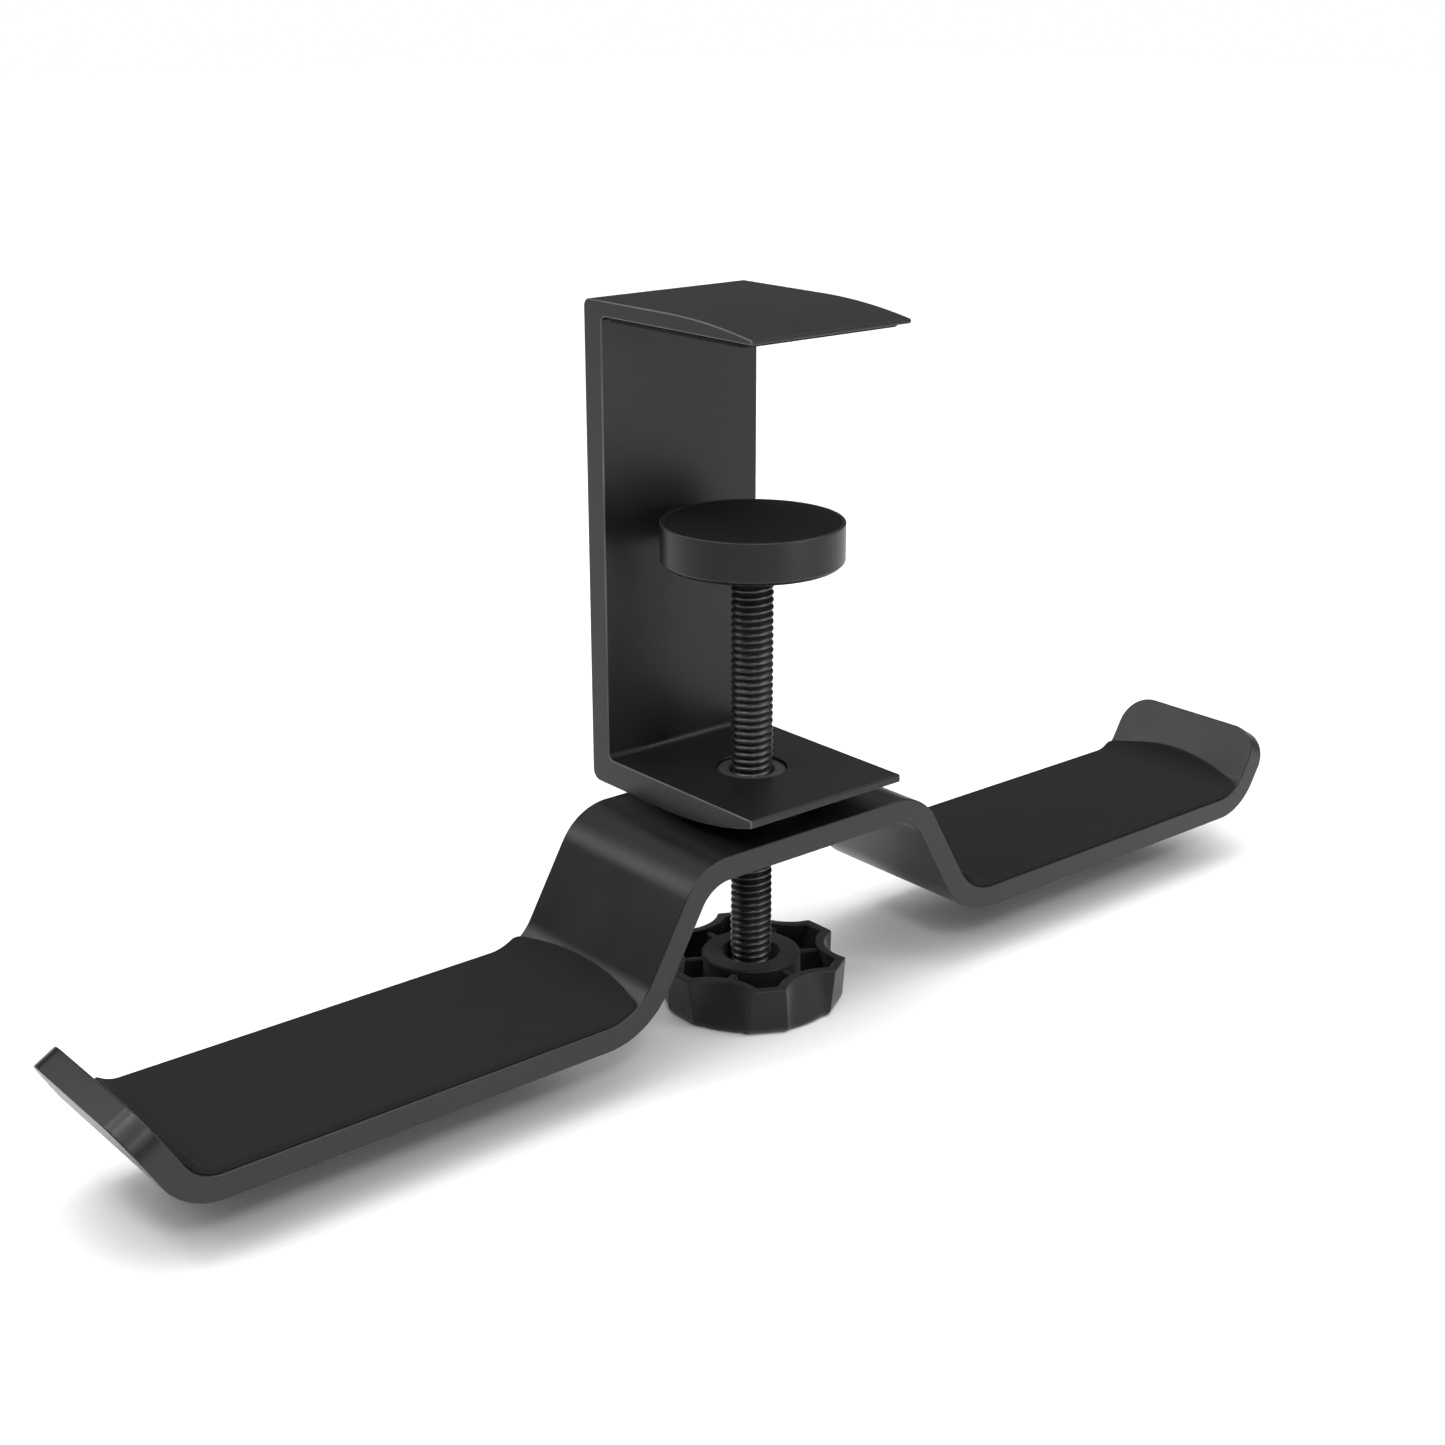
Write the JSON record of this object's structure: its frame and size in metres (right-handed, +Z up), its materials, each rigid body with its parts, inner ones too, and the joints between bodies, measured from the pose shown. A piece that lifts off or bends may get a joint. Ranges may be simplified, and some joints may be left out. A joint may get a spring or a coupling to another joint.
{
  "type": "headphone hook",
  "caption": "Screw clamp for a desk edge that carries a swivelling bar with a padded, upturned arm at each end for hanging headphones.",
  "frame": {"origin": "on the clamp screw's axis, in the plane of the rubber pad that rests on top of the desk", "axes": "+X along the hook bar, +Y from the screw towards the bracket's post, +Z up along the screw, from the knob to the desk"},
  "size_m": [0.299, 0.0505, 0.1457],
  "materials": {
    "black_aluminium": "satin black anodised flat bar, fine even bead-blast grain, paler along its edges",
    "disc_aluminium": "satin black anodised, turned",
    "black_rubber": "matte black sheet rubber",
    "disc_rubber": "matte black, smooth",
    "dark_steel": "black oxide, oiled satin",
    "bush_steel": "turned, grey zinc",
    "spring_steel": "phosphated spring steel",
    "bearing_nylon": "black nylon, smooth",
    "black_nylon": "moulded black nylon, fine even grain",
    "cap_plastic": "moulded black plastic disc",
    "adhesive_film": "double-sided acrylic tape"
  },
  "bodies": {
    "clamp": {"clamp_bracket": "black_aluminium", "jaw_pad": "black_rubber", "jaw_pad_film": "adhesive_film", "threaded_bush": "bush_steel", "wave_spring": "spring_steel", "retaining_washer": "bush_steel", "retaining_ring": "spring_steel"},
    "hook": {"hook_bar": "black_aluminium", "pivot_bush": "bearing_nylon", "thrust_washer": "bearing_nylon", "hook_pad_left": "black_rubber", "hook_pad_right": "black_rubber", "hook_pad_film_left": "adhesive_film", "hook_pad_film_right": "adhesive_film"},
    "foot": {"pressure_disc": "disc_aluminium", "disc_pad": "disc_rubber", "disc_pad_film": "adhesive_film"},
    "screw": {"clamp_screw": "dark_steel", "screw_washer": "bush_steel", "disc_clip": "spring_steel", "knob": "black_nylon", "knob_lock_ring": "dark_steel", "knob_cap": "cap_plastic"}
  },
  "joints": [
    {"name": "hook_swivel", "type": "hinge", "parent": "clamp", "child": "hook", "pos_m": [0, 0, -0.0999], "axis": [0, 0, 1], "continuous": true},
    {"name": "clamp_travel", "type": "slide", "parent": "clamp", "child": "foot", "axis": [0, 0, 1], "range_m": [-0.0421, 0.0226]},
    {"name": "screw_turn", "type": "hinge", "parent": "foot", "child": "screw", "pos_m": [0, 0, -0.093], "axis": [0, 0, 1], "range_deg": [-10080, 5400]}
  ],
  "couplings": [
    {"joint": "clamp_travel", "follows": "screw_turn", "m_per_rad": 0.00023873}
  ]
}
